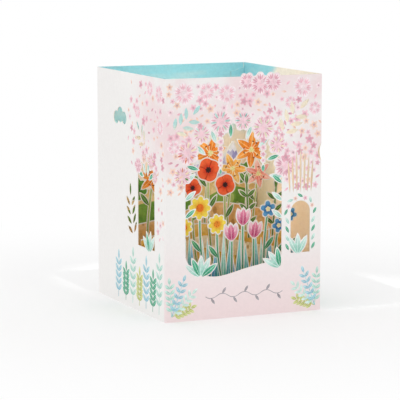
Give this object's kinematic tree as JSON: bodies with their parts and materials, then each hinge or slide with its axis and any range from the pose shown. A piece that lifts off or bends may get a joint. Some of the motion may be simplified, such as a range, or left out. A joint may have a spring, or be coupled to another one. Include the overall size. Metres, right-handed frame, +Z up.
{
  "type": "pop up card",
  "caption": "Standing pop-up greeting card: a white card sleeve with laser-cut garden windows around die-cut flower, meadow, lily and hill layers.",
  "frame": {"origin": "middle of the base, on the table plane the sleeve's lower edges stand on", "axes": "+Z up along the folds, -Y out of the front panel with the garden window, +X towards the viewer's right"},
  "size_m": [0.127, 0.135, 0.1812],
  "materials": {
    "white_card": "smooth matt white card, printed outside and inside",
    "flower_card": "matt card printed in colour",
    "meadow_card": "matt card printed in colour",
    "lily_card": "matt card printed in colour",
    "hill_card": "matt card printed in colour"
  },
  "bodies": {
    "root": {"card_sleeve": "white_card", "flower_layer": "flower_card", "meadow_layer": "meadow_card", "lily_layer": "lily_card", "hill_layer": "hill_card"}
  },
  "joints": []
}
